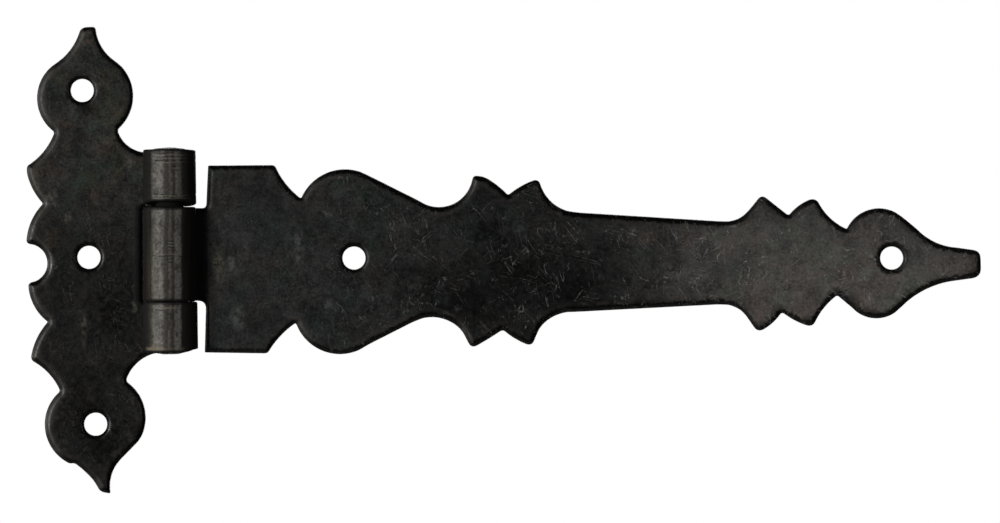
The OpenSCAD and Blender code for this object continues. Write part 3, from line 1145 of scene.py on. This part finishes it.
def jamb_lightness(nodes, x, z):
    """The jamb leaf is darker below its middle."""
    return nodes.band(z, -5, 20, 0.35, 1.35)


def jamb_roughness(nodes, x, z):
    return nodes.band(z, -5, 20, 0.36, 0.41)


def strap_painted_sheen(nodes, x, z):
    """The strap is darkest at the middle of its length, most of all low down, and palest at
    its tip. This is painted sheen and shade, for how the light falls along it."""
    low = nodes.band(z, 8, -8)
    dip = nodes.times(nodes.hump(x, 86, 18, 52), nodes.band(low, 0, 1, 0.35, 0.75))
    rise = nodes.plus(nodes.band(x, 84, 130, 1.12, 5.9), nodes.band(x, 148, 166, 0.0, 0.8))
    return nodes.less(rise, dip)


def strap_roughness(nodes, x, z):
    return nodes.plus(nodes.band(x, 30, 70, 0.43, 0.38), nodes.band(x, 82, 135, 0.0, 0.14))


def pin_material():
    """Dull mottled steel, brassy at the bottom, and painted shade, near black, where it runs inside
    the knuckles.
    """
    nodes = Nodes("pin steel")
    place = nodes.place()
    _, _, z = nodes.split(place)
    head = nodes.attribute("head", "Fac")
    inside_knuckles = nodes.band(head, 1.0, 0.0)
    mottle = nodes.noise(place, 0.8, 5.0, 0.65)
    base = nodes.mix(nodes.band(mottle, 0.35, 0.65), PIN_DARK, PIN_PALE)
    low = nodes.times(nodes.band(z, -19, -20), nodes.band(mottle, 0.4, 0.6), 0.6)
    base = nodes.mix(low, base, PIN_BRASSY)
    # Painted shade: the shaft, seen only in the gaps between knuckles, is painted near black
    base = nodes.mix(nodes.times(inside_knuckles, 0.95), base, PIN_PAINTED_SHADE)
    dull = nodes.plus(nodes.band(mottle, 0.3, 0.7, 0.38, 0.6), nodes.times(inside_knuckles, 0.4))
    nodes.put(base, nodes.shader.inputs["Base Color"])
    nodes.put(nodes.band(head, 0.0, 1.0, 0.0, 0.7), nodes.shader.inputs["Metallic"])
    nodes.put(dull, nodes.shader.inputs["Roughness"])
    nodes.shader.inputs["Specular IOR Level"].default_value = PIN_SPECULAR
    dents = nodes.bump(nodes.noise(place, 1.4, 5.0, 0.7), PIN_BUMP)
    nodes.put(dents, nodes.shader.inputs["Normal"])
    return nodes.material


# Stage

def make_floor():
    mesh = bpy.data.meshes.new("floor")
    mesh.from_pydata([(x, y, FLOOR_Z) for x, y in FLOOR_CORNERS], [], [(0, 1, 2, 3)])
    floor = bpy.data.objects.new("floor", mesh)
    nodes = Nodes("pale floor")
    nodes.shader.inputs["Base Color"].default_value = FLOOR_COLOUR
    nodes.shader.inputs["Roughness"].default_value = 0.9
    mesh.materials.append(nodes.material)
    bpy.context.scene.collection.objects.link(floor)


def make_softbox(name, place, target, size, power):
    light = bpy.data.lights.new(name, "AREA")
    light.shape = "RECTANGLE"
    light.size, light.size_y = size
    light.energy = power
    lamp = bpy.data.objects.new(name, light)
    lamp.location = place
    lamp.visible_camera = False
    lamp.rotation_euler = (Vector(target) - Vector(place)).to_track_quat("-Z", "Y").to_euler()
    bpy.context.scene.collection.objects.link(lamp)


def make_world():
    """White where the camera sees it, and dim studio walls for the light."""
    world = bpy.data.worlds.new("studio")
    world.use_nodes = True
    tree = world.node_tree
    tree.nodes.clear()
    seen, walls, choice, path, output = (
        tree.nodes.new("ShaderNode" + kind)
        for kind in ("Background", "Background", "MixShader", "LightPath", "OutputWorld")
    )
    seen.inputs["Color"].default_value = (1, 1, 1, 1)
    walls.inputs["Color"].default_value = WALL_COLOUR
    tree.links.new(path.outputs["Is Camera Ray"], choice.inputs[0])
    tree.links.new(walls.outputs[0], choice.inputs[1])
    tree.links.new(seen.outputs[0], choice.inputs[2])
    tree.links.new(choice.outputs[0], output.inputs["Surface"])
    bpy.context.scene.world = world


def make_camera():
    """Square on to the front, with a long lens that just takes in the whole hinge."""
    camera = bpy.data.cameras.new("camera")
    camera.sensor_width = SENSOR_WIDTH
    camera.lens = SENSOR_WIDTH * CAMERA_DISTANCE / VIEW_WIDTH
    camera.clip_start, camera.clip_end = 0.05, 20
    holder = bpy.data.objects.new("camera", camera)
    holder.location = (LOOKS_AT[0], LOOKS_AT[1] - CAMERA_DISTANCE, LOOKS_AT[2])
    holder.rotation_euler = (math.radians(90), 0, 0)
    bpy.context.scene.collection.objects.link(holder)
    bpy.context.scene.camera = holder


make_camera()
make_world()
make_floor()
for softbox in SOFTBOXES:
    make_softbox(*softbox)
bpy.context.scene.view_settings.view_transform = "Standard"

make_leaf(
    "jamb_sheet", "jamb", "jamb_leaf", JAMB_OUTLINE, JAMB_HOLES, -1, 3.0,
    JAMB_GROOVES,
    iron_material("jamb iron", 13.0, jamb_lightness, jamb_roughness, JAMB_LOOK, brassy=True),
    uneven_ends)
make_leaf(
    "strap_sheet", "strap", "strap_leaf", STRAP_OUTLINE, STRAP_HOLES, 1, 11.0,
    STRAP_GROOVES,
    iron_material("strap iron", 57.0, strap_painted_sheen, strap_roughness, STRAP_LOOK, brassy=False))
make_pin(pin_material())
